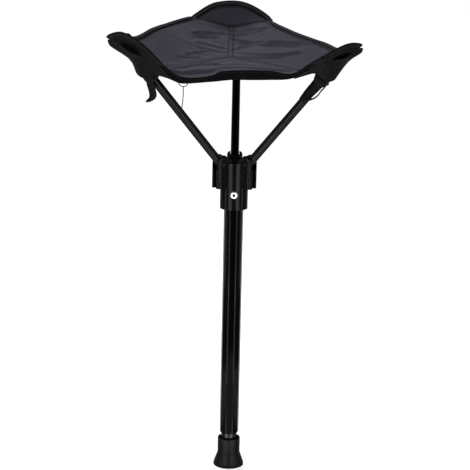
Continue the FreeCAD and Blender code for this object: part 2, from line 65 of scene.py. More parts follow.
def place_camera():
    """Camera turned by pitch, yaw and roll, which are in degrees."""
    pitch, yaw, roll = (math.radians(angle) for angle in VIEW_ANGLES)
    ahead = Vector((math.sin(yaw) * math.cos(pitch), math.cos(yaw) * math.cos(pitch),
                    -math.sin(pitch)))
    level = Vector((math.cos(yaw), -math.sin(yaw), 0))
    over = level.cross(ahead)
    right = level * math.cos(roll) + over * math.sin(roll)
    up = over * math.cos(roll) - level * math.sin(roll)
    bpy.ops.object.camera_add()
    camera = bpy.context.object
    turned = Matrix((right, up, -ahead)).transposed().to_4x4()
    camera.matrix_world = Matrix.Translation(VIEW_FROM) @ turned
    camera.data.sensor_width = SENSOR_WIDTH
    camera.data.lens = FOCAL_PIXELS / FRAME_PIXELS * SENSOR_WIDTH
    bpy.context.scene.camera = camera


place_camera()


# Picking the piece that is worked on

def deselect():
    if bpy.context.object and bpy.context.object.mode != "OBJECT":
        bpy.ops.object.mode_set(mode="OBJECT")
    bpy.ops.object.select_all(action="DESELECT")


def pick(piece):
    deselect()
    piece.select_set(True)
    bpy.context.view_layer.objects.active = piece


# Half ring under the front of the seat, and the short cord on it, with its route in mm

CORD_ROUTE = ((-69.4, -120.3, 572.19), (-69.3, -120.7, 561.19),
              (-70.3, -120.5, 549.69), (-71.8, -120.0, 538.69))
CORD_RADIUS = 0.0006
RING_STEPS = 16


def round_line(name, places, radius):
    """Round wire or cord through places in metres, as a mesh."""
    curve = bpy.data.curves.new(name, "CURVE")
    curve.dimensions = "3D"
    line = curve.splines.new("NURBS")
    line.points.add(len(places) - 1)
    for point, place in zip(line.points, places):
        point.co = (*place, 1.0)
    line.order_u = 3
    line.use_endpoint_u = True
    curve.bevel_depth = radius
    curve.bevel_resolution = 3
    curve.use_fill_caps = True
    piece = bpy.data.objects.new(name, curve)
    bpy.context.scene.collection.objects.link(piece)
    pick(piece)
    bpy.ops.object.convert(target="MESH")
    return bpy.context.object


def move_with_front(piece, node):
    """Bake the piece's placement into its mesh, and hide the part that it stands for."""
    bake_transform(piece)
    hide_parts(node)


def hang_ring():
    low, high = (Vector(corner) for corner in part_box("seat_ring"))
    wire = (high.y - low.y) / 2
    middle = (low + high) / 2
    half, drop = (high.x - low.x) / 2 - wire, high.z - low.z - wire
    turns = [math.pi * (1 + k / RING_STEPS) for k in range(RING_STEPS + 1)]
    places = [(middle.x + half * math.cos(turn), middle.y, high.z + drop * math.sin(turn))
              for turn in turns]
    ring = round_line("front_half_ring", places, wire)
    move_with_front(ring, "seat_ring")
    return ring


def hang_cord():
    places = [Vector(place) * MM for place in CORD_ROUTE]
    cord = round_line("keeper_cord_soft", places, CORD_RADIUS)
    move_with_front(cord, "keeper_cord")
    low, high = (Vector(corner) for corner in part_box("cord_knot"))
    bpy.ops.mesh.primitive_uv_sphere_add(segments=16, ring_count=8, radius=(high.x - low.x) / 2,
                                         location=(low + high) / 2)
    knot = bpy.context.object
    knot.name = "keeper_cord_knot"
    bpy.ops.object.transform_apply(location=True)
    move_with_front(knot, "cord_knot")
    return cord, knot


cord, knot = hang_cord()
ring = hang_ring()


# Materials

# Height of the screw, and radius of the painted shade in its hexagon socket
SCREW_HEIGHT = 0.409
SOCKET_SHADE_RADIUS = 0.0024

# Length of the binding tape's pattern that goes once round its section
TAPE_ROUND = 0.02


def operators(operation):
    """A Math node as an operator, and its reflected form."""
    def plain(self, other):
        return self.work(operation, self, other)

    def reflected(self, other):
        return self.work(operation, other, self)

    return plain, reflected


class Value:
    """A number that changes over a surface; arithmetic on it adds Math nodes."""

    __add__, __radd__ = operators("ADD")
    __sub__, __rsub__ = operators("SUBTRACT")
    __mul__, __rmul__ = operators("MULTIPLY")
    __truediv__, __rtruediv__ = operators("DIVIDE")
    __pow__, __rpow__ = operators("POWER")
    __lt__, __gt__ = operators("LESS_THAN")

    def __init__(self, tree, socket):
        self.tree = tree
        self.socket = socket

    def work(self, operation, *terms, clamp=False):
        settings = {"operation": operation, "use_clamp": clamp}
        node = Nodes(self.tree).node("Math", settings, dict(enumerate(terms)))
        return Value(self.tree, node.outputs[0])

    def __abs__(self):
        return self.work("ABSOLUTE", self)

    def wave(self):
        return self.work("SINE", self)

    def clamped(self):
        return self.work("ADD", self, 0.0, clamp=True)

    def ramp(self, low, high):
        """0 at low, 1 at high, clamped."""
        return self.work("DIVIDE", self - low, high - low, clamp=True)


class Nodes:
    """A node tree in the making."""

    def __init__(self, tree):
        self.tree = tree

    def node(self, kind, settings=None, inputs=None):
        node = self.tree.nodes.new("ShaderNode" + kind)
        for word, setting in (settings or {}).items():
            setattr(node, word, setting)
        for place, term in (inputs or {}).items():
            if isinstance(term, Value):
                self.tree.links.new(term.socket, node.inputs[place])
            elif isinstance(term, bpy.types.NodeSocket):
                self.tree.links.new(term, node.inputs[place])
            else:
                node.inputs[place].default_value = term
        return node

    def value(self, socket):
        return Value(self.tree, socket)

    def parts(self, vector):
        """The three numbers of a vector."""
        return [self.value(part) for part in self.node("SeparateXYZ", {}, {0: vector}).outputs]


class Finish(Nodes):
    """A material in the making."""

    def __init__(self, name, colour, roughness, **constants):
        self.material = bpy.data.materials.new(name)
        self.material.use_nodes = True
        super().__init__(self.material.node_tree)
        self.shader = self.tree.nodes["Principled BSDF"]
        self.shader.inputs["Base Color"].default_value = (*colour, 1.0)
        self.shader.inputs["Roughness"].default_value = roughness
        for words, setting in constants.items():
            self.shader.inputs[words.replace("_", " ")].default_value = setting
        self.material.diffuse_color = (*colour, 1.0)

    def place(self, stretch=(1, 1, 1), turn=(0, 0, 0)):
        """Object coordinates in metres, turned and then stretched."""
        where = self.node("TexCoord").outputs["Object"]
        turned = self.node("Mapping", {"vector_type": "POINT"}, {"Vector": where, "Rotation": turn})
        return self.node("Mapping", {}, {"Vector": turned.outputs[0], "Scale": stretch}).outputs[0]

    def speckle(self, scale, detail=2.0, roughness=0.5, where=None):
        inputs = {"Vector": where or self.place(), "Scale": scale, "Detail": detail,
                  "Roughness": roughness}
        return self.value(self.node("TexNoise", {}, inputs).outputs["Fac"])

    def cells(self, scale):
        inputs = {"Vector": self.place(), "Scale": scale}
        return self.value(self.node("TexVoronoi", {}, inputs).outputs["Distance"])

    def colour(self, share, first, second):
        """Base colour that goes from the first to the second with the share."""
        blend = self.node("Mix", {"data_type": "RGBA"}, {0: share, 6: first, 7: second})
        self.tree.links.new(blend.outputs[2], self.shader.inputs["Base Color"])

    def tint(self, share, dark, light):
        self.colour(share, (*dark, 1), (*light, 1))

    def darken(self, share, dark):
        """Cover the base colour made so far."""
        base = self.shader.inputs["Base Color"].links[0].from_socket
        self.colour(share, base, (*dark, 1))

    def rough(self, value):
        self.tree.links.new(value.socket, self.shader.inputs["Roughness"])

    def relief(self, height, depth):
        """Bump of this depth in metres from a height of 0 to 1."""
        bump = self.node("Bump", {}, {"Height": height, "Distance": depth, "Strength": 1.0})
        self.tree.links.new(bump.outputs[0], self.shader.inputs["Normal"])


def black_tube(name, lean=0.0, grain_depth=0.000003, dark=0.0006, gloss=0.017):
    """Gloss black tube with a faint lengthwise grain and a few dull rubs."""
    shadow, light = (dark, dark, dark * 1.3), (dark * 2, dark * 2, dark * 2.6)
    finish = Finish(name, shadow, 0.12, Specular_IOR_Level=gloss)
    grain = finish.speckle(300, where=finish.place((1, 1, 0.01), (0, -lean, 0)))
    cloud = finish.speckle(22, 3.0, 0.6)
    finish.rough(0.07 + grain * 0.02 + cloud * 0.05)
    finish.tint((cloud * 0.7 + grain * 0.3).clamped(), shadow, light)
    if grain_depth:
        finish.relief(grain, grain_depth)
    return finish.material


def moulded_plastic():
    finish = Finish("black moulding", (0.002, 0.002, 0.003), 0.3, Specular_IOR_Level=0.018)
    pits = finish.cells(1400)
    cloud = finish.speckle(60, 4.0, 0.6)
    finish.rough(0.15 + cloud * 0.10)
    finish.tint(cloud, (0.0015, 0.0015, 0.002), (0.0035, 0.0035, 0.0045))
    finish.relief(pits * 0.5 + cloud * 0.5, 0.00003)
    return finish.material


def foot_rubber():
    finish = Finish("foot rubber", (0.007, 0.007, 0.009), 0.4, Specular_IOR_Level=0.015)
    cloud = finish.speckle(45, 5.0, 0.65)
    fine = finish.speckle(1500, 2.0)
    dust = finish.speckle(160, 4.0, 0.7).ramp(0.52, 0.8)
    finish.rough(0.30 + cloud * 0.15)
    finish.tint((cloud * 0.6 + dust * 0.5).clamped(), (0.004, 0.004, 0.005),
                (0.012, 0.011, 0.014))
    finish.relief(fine * 0.6 + cloud * 0.4, 0.00010)
    return finish.material


def bright_steel():
    """Polished steel; painted shade darkens the screw's hexagon socket."""
    finish = Finish("bright steel", (0.2, 0.2, 0.21), 0.4, Metallic=1.0)
    cloud = finish.speckle(300, 3.0)
    across, _, height = finish.parts(finish.place())
    rise = height - SCREW_HEIGHT
    socket = (across * across + rise * rise) ** 0.5 < SOCKET_SHADE_RADIUS
    finish.rough(0.34 + cloud * 0.16 + socket * 0.4)
    finish.tint(cloud, (0.25, 0.25, 0.26), (0.16, 0.16, 0.17))
    # Painted shade in the screw's hexagon socket
    finish.darken(socket, (0.001, 0.001, 0.001))
    finish.relief(cloud, 0.00002)
    return finish.material


def blackened_steel():
    finish = Finish("blackened steel", (0.003, 0.003, 0.0035), 0.34, Metallic=1.0)
    cloud = finish.speckle(400, 3.0)
    finish.rough(0.28 + cloud * 0.16)
    finish.tint(cloud, (0.0015, 0.0015, 0.002), (0.004, 0.004, 0.005))
    finish.relief(cloud, 0.00002)
    return finish.material


def lock_plastic():
    finish = Finish("grey lock moulding", (0.30, 0.30, 0.31), 0.45)
    cloud = finish.speckle(80, 3.0)
    finish.rough(0.38 + cloud * 0.15)
    finish.tint(cloud, (0.24, 0.24, 0.25), (0.36, 0.36, 0.37))
    finish.relief(cloud, 0.00005)
    return finish.material


def woven(name, dark, light, roughness=0.82, pitch=0.0009, gloss=0.02, shaded_edges=False, sheen=0.0):
    """Plain weave of warp and weft, with slubs and a slow change of shade.

    Painted shade darkens it in the grooves of seams and hems, from a point attribute,
    and along both edges of binding tape.
    """
    finish = Finish(name, light, roughness, Sheen_Weight=sheen, Sheen_Roughness=0.5,
                    Specular_IOR_Level=gloss)
    across, along, _ = finish.parts(finish.node("UVMap", {"uv_map": "cut"}).outputs[0])
    turns = math.tau / pitch
    warp = (across * turns).wave()
    weft = (along * turns).wave()
    weave = (warp * weft) * 0.25 + 0.5 + (warp + weft) * 0.12
    cloud = finish.speckle(28, 4.0, 0.6)
    slub = finish.speckle(700, 2.0, 0.6)
    shade = (cloud * 0.55 + slub * 0.25 + weave * 0.25 - 0.02).clamped()
    # Painted shade along both edges of the tape's section
    if shaded_edges:
        side = abs((along * (math.tau / TAPE_ROUND) + math.pi / 2).wave())
        shade = (shade - side.ramp(0.25, 0.5) * 0.9).clamped()
    finish.tint(shade, dark, light)
    # Painted shade in the grooves of seams and hems, from the piece's point attribute
    painted_shade = finish.value(finish.node("Attribute", {"attribute_name": "painted_shade"}).outputs["Fac"])
    finish.darken((painted_shade * 0.8).clamped(), (0.002, 0.002, 0.002))
    finish.rough(roughness - 0.08 + slub * 0.16)
    finish.relief(weave * 0.7 + slub * 0.6, 0.00012)
    return finish.material


def hook_and_loop():
    """Pebbled pile of hook-and-loop tape."""
    finish = Finish("hook and loop tape", (0.010, 0.010, 0.012), 0.85, Specular_IOR_Level=0.015)
    pile = finish.cells(620)
    cloud = finish.speckle(300, 4.0, 0.7)
    finish.tint((1.1 - pile * 1.5 + cloud * 0.3 - 0.2).clamped(), (0.003, 0.003, 0.004),
                (0.026, 0.026, 0.029))
    finish.relief(1 - pile + cloud * 0.5, 0.0007)
    return finish.material


TUBE = black_tube("black tube")
INNER_TUBE = black_tube("black inner tube", dark=0.006, gloss=0.04)
MOULDING = moulded_plastic()
RUBBER = foot_rubber()
STEEL = bright_steel()
BLACKENED = blackened_steel()
LOCK = lock_plastic()
CLOTH = woven("seat cloth", (0.020, 0.018, 0.026), (0.053, 0.048, 0.065), sheen=0.03)
# Cloth under the wings: a dark fabric, darkened further as painted shade for the shade under the
# wings
SHADED_LINING = woven("corner lining, partly painted shade", (0.0035, 0.0035, 0.004), (0.010, 0.0095, 0.011), 0.42, gloss=0.010)
# Binding tape, with painted shade along both its edges
TAPE = woven("binding tape", (0.006, 0.006, 0.007), (0.044, 0.042, 0.050), 0.75, 0.0007, 0.008,
             shaded_edges=True)
# Painted shade: the front binding is a much darker copy of the binding tape, for the shade on its
# upright front
SHADED_FRONT_TAPE = woven("front binding tape in painted shade", (0.002, 0.002, 0.0025), (0.006, 0.0055, 0.007), 0.6,
                   0.0007, 0.003)
WEBBING = woven("loop webbing", (0.006, 0.006, 0.007), (0.018, 0.017, 0.020), 0.75, 0.0007)
PILE = hook_and_loop()
THREAD = woven("cord and thread", (0.005, 0.005, 0.006), (0.014, 0.014, 0.016), 0.7, 0.0004)

ARM_LEAN = math.radians(40.8)
ARMS = {"left": 210.0, "right": 330.0, "back": 90.0}


def finish_nodes(material, *names):
    for name in names:
        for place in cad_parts[name].material_slots:
            place.material = material


finish_nodes(INNER_TUBE, "inner_tube")
finish_nodes(TUBE, "outer_tube")
finish_nodes(MOULDING, "hub")
finish_nodes(RUBBER, "rubber_foot")
finish_nodes(LOCK, "tube_plug", "cam_screw", "lock_expander", "guide_bush", "leg_plug")
finish_nodes(STEEL, "foot_washer", "hub_screw")
for arm in ARMS:
    finish_nodes(black_tube("black tube, " + arm + " arm", ARM_LEAN, 0.0), "arm_tube_" + arm)
    finish_nodes(MOULDING, "arm_knuckle_" + arm, "arm_cap_" + arm)
    finish_nodes(BLACKENED, "pivot_pin_" + arm)
for piece, material in ((ring, BLACKENED), (cord, THREAD), (knot, THREAD)):
    piece.data.materials.append(material)


# Seat cloth: its plan, its heights and the pieces that it is sewn from, in mm

SEAM_END = 152.0
HEM_AWAY = 118.0
HEM_HALF = 94.0
CENTRE_SHIFT = -9.0
CLOTH_T = 1.5
LINING_T = 1.2

# Places in the open seat's surface, read along its seams, hems and folds.
SEAT_PLACES = (
    (-9, 0, 601), (-9, 53, 607), (-10, 106, 617), (-10, 146, 629),
    (-50, -27, 595), (-92, -53, 590), (-112, -66, 594), (-132, -76, 622),
    (42, -27, 596), (78, -45, 591), (108, -62, 595), (132, -76, 621),
    (-3, -40, 596), (-5, -80, 594), (-60, -80, 590), (55, -80, 592),
    (-1, -118, 594), (-18, -118, 592), (-32, -118, 587), (-48, -118, 584.5),
    (-63, -118, 583.5), (-78, -118, 586), (-94, -118, 598.5),
    (30, -118, 595), (48, -118, 594.5), (62, -118, 591.5), (78, -118, 594), (94, -118, 605.5),
    (-115, -99, 603), (115, -99, 609),
    (-64, 136, 645), (-74, 114, 642.5), (-101, 67, 638), (-123, 29, 635), (-147, -16, 628),
    (46, 140, 643.5), (58, 130, 642.5), (77, 104, 638.5), (102, 60, 629.5), (128, 15, 621.5),
    (147, -18, 616),
    (-46, 27, 609), (-70, 42, 619), (46, 27, 607), (70, 42, 613),
)


class Drape:
    """Smoothest height over the seat's plan that gives way a little at the chosen places."""

    UNIT = 100
    GIVE = 0.002

    def __init__(self, places):
        self.at = np.array([place[:2] for place in places], float) / self.UNIT
        heights = np.array([place[2] for place in places], float)
        count = len(places)
        kernel = self.bend(self.at)
        flat = np.hstack([np.ones((count, 1)), self.at])
        whole = np.zeros((count + 3, count + 3))
        whole[:count, :count] = kernel + np.eye(count) * self.GIVE
        whole[:count, count:] = flat
        whole[count:, :count] = flat.T
        self.weights = np.linalg.solve(whole, np.append(heights, (0, 0, 0)))

    def bend(self, spots):
        apart = np.linalg.norm(spots[:, None] - self.at[None], axis=2)
        return np.where(apart > 0, apart ** 2 * np.log(np.maximum(apart, 1e-9)), 0)

    def __call__(self, x, y):
        spot = np.array([[x, y]]) / self.UNIT
        row = np.hstack([self.bend(spot), [[1.0]], spot])
        return float((row @ self.weights)[0])


drape = Drape(SEAT_PLACES)


def heading(degrees):
    turn = math.radians(degrees)
    return Vector((math.cos(turn), math.sin(turn)))


def beside(along):
    """The plan direction to the left of another."""
    return Vector((-along.y, along.x))


def smooth(low, high, x):
    """0 at low, 1 at high, level at both."""
    t = min(max((x - low) / (high - low), 0.0), 1.0)
    return t * t * (3 - 2 * t)


def bell(away, width):
    """1 at no distance, nearly 0 at twice the width."""
    return math.exp(-(away / width) ** 2)


def shifted(spot):
    """The cloth lies a little to the left of the leg, but not at its front and side corners."""
    share = smooth(-110, 10, spot.y) * (1 - smooth(70, 150, abs(spot.x)))
    return Vector((spot.x + CENTRE_SHIFT * share, spot.y))


# Creases pulled into the cloth: their line over the plan in mm, height and half width.
CREASES = (
    (((-7, 136), (19, 130), (43, 118)), 1.0, 3.6),
    (((-6, 118), (19, 117), (36, 112)), -0.9, 4.0),
    (((-8, 101), (11, 87), (30, 74), (65, 58), (89, 42), (107, 29)), 1.9, 4.2),
    (((4, 82), (28, 64), (62, 48), (84, 34)), -1.0, 5.0),
    (((-6, 47), (7, 63), (18, 68), (43, 61)), 1.3, 4.4),
    (((-6, 26), (18, 14), (64, 10), (84, 12)), 1.4, 5.0),
    (((8, -1), (35, -2), (64, -1)), -1.0, 4.6),
    (((-64, 79), (-43, 103), (-21, 123)), 1.2, 3.8),
    (((-63, 62), (-47, 79), (-29, 95)), -0.9, 4.2),
    (((-57, 47), (-39, 51), (-20, 52)), 1.3, 4.2),
    (((-52, 26), (-34, 29), (-14, 30)), -1.0, 4.6),
    (((-69, 1), (-56, 10), (-42, 24)), 1.1, 4.6),
    (((-78, -14), (-65, -11), (-51, -11)), -0.8, 4.4),
    (((-88, -98), (-55, -92), (-26, -92)), 2.0, 4.6),
    (((-90, -80), (-60, -74), (-30, -76), (10, -70)), -1.6, 5.2),
    (((-100, -66), (-63, -46), (-43, -43), (-27, -46)), 1.4, 4.4),
    (((-28, -118), (-22, -108), (-26, -96)), 2.0, 4.0),
    (((70, -84), (40, -90), (10, -88)), 1.5, 4.8),
)
CREASE_PULL = 2.2
CREASE_NARROWING = 0.8
STARTS = np.array([start for line, _, _ in CREASES for start in line[:-1]], float)
RUNS = np.array([end for line, _, _ in CREASES for end in line[1:]], float) - STARTS
LINE_OF = np.array([k for k, (line, _, _) in enumerate(CREASES) for _ in line[1:]])
CREASE_HEIGHTS = np.array([height for _, height, _ in CREASES])
CREASE_WIDTHS = np.array([width * CREASE_NARROWING for _, _, width in CREASES])


def crease(x, y):
    """Height of the creases over a plan spot; each fades with the distance from its line."""
    spot = np.array((x, y))
    share = np.clip(((spot - STARTS) * RUNS).sum(1) / (RUNS ** 2).sum(1), 0, 1)
    away = np.hypot(*(STARTS + RUNS * share[:, None] - spot).T)
    nearest = np.full(len(CREASES), 1e3)
    np.minimum.at(nearest, LINE_OF, away)
    return float((CREASE_HEIGHTS * np.exp(-(nearest / CREASE_WIDTHS) ** 2)).sum())


def wrinkle(x, y):
    """Height of the cloth's creases and small pulls; none at the front hem, less at the others."""
    from_middle = x - CENTRE_SHIFT
    flow = noise.noise(Vector((x * 0.014 + 3, y * 0.11 - abs(from_middle) * 0.012, 1.5)))
    broad = noise.noise(Vector((x * 0.022, y * 0.022, 4.0)))
    to_hem = HEM_AWAY - max(Vector((x, y)).dot(heading(turn)) for turn in (30, 150))
    free = smooth(-HEM_AWAY, -104, y) * (0.2 + 0.8 * smooth(0, 24, to_hem))
    pulls = 0.5 + 1.2 * bell(from_middle, 48)
    return (crease(x, y) * CREASE_PULL + pulls * flow + broad) * free


# Half length of the hem beside each corner
HEM_ENDS = {"left": HEM_HALF, "right": HEM_HALF, "back": 85.0}


def corner_of(arm):
    """How far out and how far aside a wing's ends lie on its arm's line."""
    half = HEM_ENDS[arm]
    lean = math.radians(30)
    return (half * math.cos(lean) + HEM_AWAY * math.sin(lean),
            HEM_AWAY * math.cos(lean) - half * math.sin(lean))


def root_spot(arm, share):
    """Plan place on the seam between a wing and the panels, share from -1 to 1 across it."""
    along = heading(ARMS[arm])
    out, across = corner_of(arm)
    reach = SEAM_END - (SEAM_END - out) * share ** 2
    return shifted(along * reach + beside(along) * across * share)


def on_seat(spot, lift=0.0):
    """The place in the seat's surface over a plan spot."""
    return Vector((spot.x, spot.y, drape(spot.x, spot.y) + wrinkle(spot.x, spot.y) + lift))


def flat_panel(arm, side, u, v):
    """Plan place in the half panel beside an arm's seam, before the cloth's shift."""
    along = heading(ARMS[arm])
    aside = beside(along) * side
    middle = heading(ARMS[arm] + 60 * side) * HEM_AWAY
    end = along * SEAM_END
    out, across = corner_of(arm)
    corner = along * out + aside * across
    spot = end * (u * (1 - v)) + corner * (u * v) + middle * ((1 - u) * v)
    return spot + along * (SEAM_END - out) * (v - v * v) * u * u


def half_panel(arm, side, u, v):
    """The same place in the hung seat: u runs outward, v from the seam to the hem."""
    return shifted(flat_panel(arm, side, u, v))


# How deep each seam is drawn in, and the distance of the stitches from a hem's edge
SEAM_DEPTH = {"left": 0.5, "right": 0.35, "back": 1.0}
STITCH_IN = 7.6


def sewn_relief(arm, side, u, v):
    """Height over the cloth at the felled seam and at the binding, and painted shade in their
    grooves.
    """
    spot = flat_panel(arm, side, u, v)
    along = heading(ARMS[arm])
    from_seam = abs(spot.dot(beside(along)))
    from_hem = HEM_AWAY - spot.dot(heading(ARMS[arm] + 60 * side))
    from_root = (1 - u) * 120
    band = 0.8 * (1 - smooth(2.6, 3.4, from_seam))
    groove = 0.6 * bell(from_seam - 3.2, 0.8) + 0.5 * bell(from_seam, 0.6)
    hem = 0.0 if PANEL_OF[arm, side] == "front" else 1.1 * bell(from_hem - STITCH_IN, 1.0)
    root = 0.9 * bell(from_root, 1.4)
    return ((band - groove) * SEAM_DEPTH[arm] - hem - root,
            groove * SEAM_DEPTH[arm] * 1.2 + hem * 0.7 + root)


# Making pieces

def sheet_of(name, columns, rows, place, cut, painted_shade=None):
    """Grid laid at place(u, v), in mm.

    Its flat pattern cut(u, v), in metres, is its UV layer; the last function gives painted shade.
    """
    deselect()
    bpy.ops.mesh.primitive_grid_add(x_subdivisions=columns, y_subdivisions=rows, size=1.0)
    piece = bpy.context.object
    piece.name = name
    piece.data.name = name
    shares = [(point.co.x + 0.5, point.co.y + 0.5) for point in piece.data.vertices]
    layer = piece.data.uv_layers[0]
    layer.name = "cut"
    for corner in piece.data.loops:
        layer.uv[corner.index].vector = cut(*shares[corner.vertex_index])
    for point, share in zip(piece.data.vertices, shares):
        point.co = place(*share) * MM
    # Painted shade for the grooves, kept as a point attribute
    if painted_shade:
        depth = piece.data.attributes.new("painted_shade", "FLOAT", "POINT")
        depth.data.foreach_set("value", [painted_shade(*share) for share in shares])
    return piece


def apply(piece, kind, **settings):
    pick(piece)
    modifier = piece.modifiers.new(kind.lower(), kind)
    for word, setting in settings.items():
        setattr(modifier, word, setting)
    bpy.ops.object.modifier_apply(modifier=modifier.name)


def edit(piece, action="SELECT"):
    pick(piece)
    bpy.ops.object.mode_set(mode="EDIT")
    bpy.ops.mesh.select_all(action=action)


def thicken(piece, thickness, offset=-1.0):
    apply(piece, "SOLIDIFY", thickness=thickness * MM, offset=offset, use_even_offset=False)


def face_outward(piece):
    edit(piece)
    bpy.ops.mesh.remove_doubles(threshold=0.00001)
    bpy.ops.mesh.normals_make_consistent(inside=False)
    bpy.ops.object.mode_set(mode="OBJECT")


def soften(piece):
    pick(piece)
    bpy.ops.object.shade_smooth_by_angle(angle=math.radians(62))


def make_cloth(piece, way, thickness=CLOTH_T, offset=-1.0):
    """Turn a sheet's faces to this direction on the whole, and give it its thickness."""
    total = sum((face.normal * face.area for face in piece.data.polygons), Vector())
    if total.dot(Vector(way)) <= 0:
        edit(piece)
        bpy.ops.mesh.flip_normals()
        bpy.ops.object.mode_set(mode="OBJECT")
    thicken(piece, thickness, offset)
    soften(piece)


def dress(piece, material, slot, body, *nodes):
    piece.data.materials.clear()
    piece.data.materials.append(material)
    if body:
        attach(piece, body)
    if nodes:
        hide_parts(*nodes)


def follow_arm(piece):
    """Bake the piece's placement into its mesh."""
    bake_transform(piece)


PANEL_OF = {
    ("left", 1): "front", ("left", -1): "left", ("right", 1): "right",
    ("right", -1): "front", ("back", 1): "left", ("back", -1): "right",
}


def gathered(v):
    """Rows of a sheet lie closer at its two sewn edges."""
    return v - 0.1 * math.sin(math.tau * v)


def sew_half_panel(arm, side):
    def place(u, v):
        point = on_seat(half_panel(arm, side, u, gathered(v)))
        point.z += sewn_relief(arm, side, u, gathered(v))[0]
        return point

    panel = PANEL_OF[arm, side]
    # The last function is painted shade in the seam and hem grooves
    piece = sheet_of("cloth_" + panel + "_by_" + arm, 90, 84, place,
                     lambda u, v: (u * 0.15, gathered(v) * 0.1),
                     lambda u, v: sewn_relief(arm, side, u, gathered(v))[1])
    make_cloth(piece, (0, 0, 1))
    dress(piece, CLOTH, "cloth", None, "seat_panel_" + panel)
    follow_arm(piece)


# Corner wings: the outer edge of each, from its -1 end to its +1 end, in mm.

WING_EDGES = {
    "left": ((-147, -17, 629), (-160, -42, 630), (-170, -66, 630), (-172, -88, 634),
             (-164, -103, 639), (-154, -111, 641.5), (-146, -115, 640), (-136, -117, 635.5),
             (-127, -118, 630), (-115, -119, 620), (-105, -119, 610), (-94, -119, 599)),
    "right": ((94, -119, 606), (100, -119, 609.5), (108, -119, 613.5), (120, -118, 621),
              (131, -117, 627), (143, -113, 631.5), (155, -105, 633), (163.5, -92, 631),
              (165.5, -76, 628.5), (164, -58, 625), (157, -38, 621), (148, -18, 617)),
    "back": ((51, 134, 644), (42, 150, 651), (26, 163, 660), (10, 169, 666), (-6, 171, 668),
             (-22, 170, 667), (-37, 167, 664), (-49, 161, 658), (-60, 150, 651),
             (-69, 134, 645.5)),
}


def step_in(rows, share):
    """The row before this share of the way, and how far on the next one is."""
    spot = share * (len(rows) - 1)
    k = min(int(spot), len(rows) - 2)
    return k, spot - k


def along_edge(points, share):
    """Smooth place on an edge, share from 0 to 1 (a Catmull-Rom line)."""
    k, t = step_in(points, share)
    p = [Vector(points[min(max(i, 0), len(points) - 1)]) for i in (k - 1, k, k + 1, k + 2)]
    return 0.5 * (2 * p[1] + (p[2] - p[0]) * t + (2 * p[0] - 5 * p[1] + 4 * p[2] - p[3]) * t * t
                  + (3 * p[1] - p[0] - 3 * p[2] + p[3]) * t ** 3)


def evenly(points, count=16, steps=200):
    """The same line through points that lie evenly along it."""
    fine = [along_edge(points, k / steps) for k in range(steps + 1)]
    reach = np.concatenate([[0], np.cumsum([(b - a).length for a, b in zip(fine, fine[1:])])])
    picks = np.interp(np.linspace(0, reach[-1], count), reach, np.linspace(0, 1, steps + 1))
    return [along_edge(points, float(share)) for share in picks]


WING_EDGES = {arm: evenly(edge) for arm, edge in WING_EDGES.items()}

# How far the middle of a wing swells outward and upward
WING_BULGE = {"left": (1.0, 7.0), "right": (1.0, 5.0), "back": (2.0, -3.0)}


def wing_place(arm, u, v):
    """Place in a wing: u across it, v from its seam to its outer edge."""
    root = on_seat(root_spot(arm, 2 * u - 1))
    edge = along_edge(WING_EDGES[arm], u)
    outward, upward = WING_BULGE[arm]
    along = heading(ARMS[arm])
    swell = 4 * v * (1 - v) * math.sin(math.pi * u)
    point = root.lerp(edge, v)
    return point + Vector((along.x * outward, along.y * outward, upward)) * swell


def wing_length(arm, u):
    return (wing_place(arm, u, 1) - wing_place(arm, u, 0)).length


# How far from a wing's edge the binding ends, where the cloth is drawn in, and where painted shade
# lies
WING_GROOVE = 8.2
WING_SHADE = 8.4

# Share of a surface between the places that give its direction, and the way that wings face
STEP = 0.02
WING_FACE = (0, -0.4, 1)


def change_across(surface, u, v):
    return surface(min(u + STEP, 1), v) - surface(max(u - STEP, 0), v)


def wing_normal(arm, u, v):
    """The wing's direction away from the ground, or towards the front where it stands up."""
    aside = change_across(lambda u, v: wing_place(arm, u, v), u, v)
    outward = wing_place(arm, u, min(v + STEP, 1)) - wing_place(arm, u, max(v - STEP, 0))
    normal = aside.cross(outward)
    if normal.length < 1e-9:
        return Vector((0, 0, 1))
    normal.normalize()
    return normal if normal.dot(Vector(WING_FACE)) > 0 else -normal


def sew_wing(arm):
    along = heading(ARMS[arm])

    def place(u, v):
        """The wing is tucked in at its seam, with grooves beside the seam and the binding."""
        share = gathered(v)
        length = wing_length(arm, u)
        from_root, from_edge = share * length, (1 - share) * length
        tucked = Vector((-along.x * 1.2, -along.y * 1.2, -0.9)) * bell(from_root, 1.3)
        groove = 0.6 * bell(from_root - 4, 0.8) * smooth(0, 20, length)
        at_edge = bell(from_edge - WING_GROOVE, 1.0)
        fold = 0.7 * bell((u - 0.5) * 90, 1.6) * (1 - share) if arm == "back" else 0.0
        across = wing_normal(arm, u, share)
        return wing_place(arm, u, share) + tucked - across * (groove + at_edge + fold)

    # Painted shade in the grooves beside the wing's seam and beside its binding
    def painted_shade(u, v):
        share = gathered(v)
        length = wing_length(arm, u)
        return (bell(share * length - 0.5, 1.5)
                + 0.6 * bell((1 - share) * length - WING_SHADE, 1.0))

    piece = sheet_of("wing_" + arm, 96, 44, place, lambda u, v: (u * 0.12, v * 0.05), painted_shade)
    make_cloth(piece, WING_FACE)
    dress(piece, CLOTH, "cloth", "arm_" + arm, "seat_wing_" + arm)


# Binding tape, folded over the edges; it stands a little past them, and its ends narrow

TAPE_PROUD = 1.2
TAPE_END = 0.07


